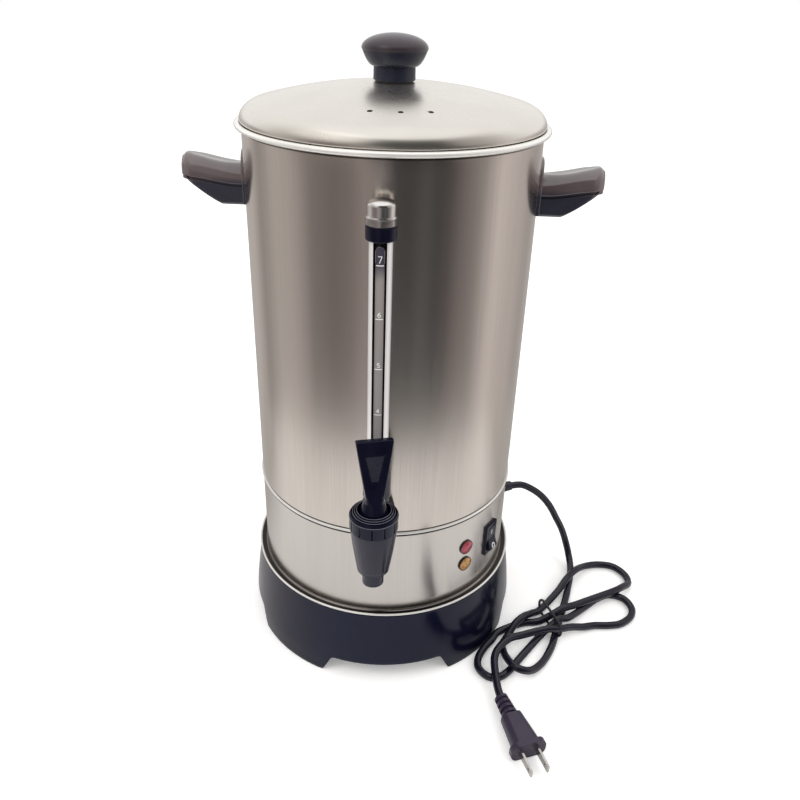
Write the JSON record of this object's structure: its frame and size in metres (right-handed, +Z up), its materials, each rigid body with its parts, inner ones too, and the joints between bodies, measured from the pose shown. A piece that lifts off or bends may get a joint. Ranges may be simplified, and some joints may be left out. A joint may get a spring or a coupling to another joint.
{
  "type": "coffee_urn",
  "caption": "Stainless coffee urn on a flared black base, with side handles, domed lid, pull-forward tap, sight gauge, pilot lamps, rocker switch and a tied cord with plug.",
  "frame": {"origin": "on the table, under the middle of the whole urn without its cord; the tank axis is 22 mm behind it", "axes": "+Z up, the tap faces -Y, the handles point along +X and -X"},
  "size_m": [0.3708, 0.3026, 0.4567],
  "materials": {
    "steel": "bright drawn stainless sheet",
    "plate_steel": "plain sheet steel",
    "fasteners": "bright machined steel",
    "black_gloss": "glossy black phenolic",
    "chrome": "polished",
    "glass": "clear borosilicate tube",
    "marks": "grey printed strip",
    "rubber": "soft black rubber",
    "cord_black": "smooth black PVC",
    "blade_metal": "nickel-plated brass",
    "red_lens": "tinted lens",
    "amber_lens": "tinted lens",
    "heater_alloy": "cast alloy clad",
    "inner_plastic": "cream moulding",
    "wire": "insulated lead"
  },
  "bodies": {
    "root": {"tank_shell": "steel", "tank_floor": "steel", "lower_skirt": "steel", "bottom_plate": "plate_steel", "heater_clamp": "plate_steel", "tie_rods": "fasteners", "tie_rod_nuts": "fasteners", "handle_screws": "fasteners", "heater_stud": "fasteners", "clamp_nut": "fasteners", "tap_nut": "fasteners", "lever_pin": "fasteners", "valve_spring": "fasteners", "base_ring": "black_gloss", "handle_left": "black_gloss", "handle_right": "black_gloss", "tap_body": "black_gloss", "tap_bonnet": "black_gloss", "tap_nozzle": "black_gloss", "gauge_collar": "black_gloss", "switch_body": "black_gloss", "pilot_bezels": "black_gloss", "gauge_guard": "chrome", "gauge_cap": "chrome", "gauge_glass": "glass", "gauge_marks": "marks", "tap_washers": "rubber", "gauge_seals": "rubber", "cord": "cord_black", "cord_bushing": "cord_black", "plug_body": "cord_black", "cord_tie": "cord_black", "plug_blades": "blade_metal", "red_lens": "red_lens", "amber_lens": "amber_lens", "main_heater": "heater_alloy", "warm_heater": "heater_alloy", "thermostat": "inner_plastic", "thermal_fuse": "inner_plastic", "terminal_block": "inner_plastic", "lamp_bodies": "inner_plastic", "wiring": "wire"},
    "lever": {"tap_lever": "black_gloss", "cam_pin": "fasteners"},
    "valve": {"valve_stem": "fasteners", "seat_cup": "rubber"},
    "rocker": {"switch_rocker": "black_gloss"},
    "pump": {"pump_stem": "steel", "pump_foot": "steel"},
    "pump_disc": {"pump_valve": "steel"},
    "basket": {"coffee_basket": "steel"},
    "cover": {"basket_cover": "steel"},
    "lid": {"lid_shell": "steel", "lid_knob": "black_gloss", "knob_washer": "rubber", "knob_screw": "fasteners"}
  },
  "joints": [
    {"name": "tap_pull", "type": "hinge", "parent": "root", "child": "lever", "pos_m": [0, -0.117, 0.182], "axis": [1, 0, 0], "range_deg": [0, 28], "stiffness_Nm_per_rad": 0.1, "springref_deg": -8.59},
    {"name": "tap_valve", "type": "slide", "parent": "root", "child": "valve", "axis": [0, 0, 1], "range_m": [0, 0.00305], "deforming": ["valve_spring"]},
    {"name": "switch_rock", "type": "hinge", "parent": "root", "child": "rocker", "pos_m": [0.08416, -0.02917, 0.1015], "axis": [0.5195, 0.8545, 0], "range_deg": [0, 20]},
    {"name": "pump_lift", "type": "slide", "parent": "root", "child": "pump", "axis": [0, 0, 1], "range_m": [0, 0.29]},
    {"name": "pump_disc_lift", "type": "slide", "parent": "pump", "child": "pump_disc", "axis": [0, 0, 1], "range_m": [0, 0.0025]},
    {"name": "basket_lift", "type": "slide", "parent": "pump", "child": "basket", "axis": [0, 0, 1], "range_m": [0, 0.1]},
    {"name": "cover_lift", "type": "slide", "parent": "basket", "child": "cover", "axis": [0, 0, 1], "range_m": [0, 0.04]},
    {"name": "lid_lift", "type": "slide", "parent": "cover", "child": "lid", "axis": [0, 0, 1], "range_m": [0, 0.04]}
  ],
  "couplings": [
    {"joint": "tap_valve", "follows": "tap_pull", "m_per_rad": 0.006241}
  ]
}
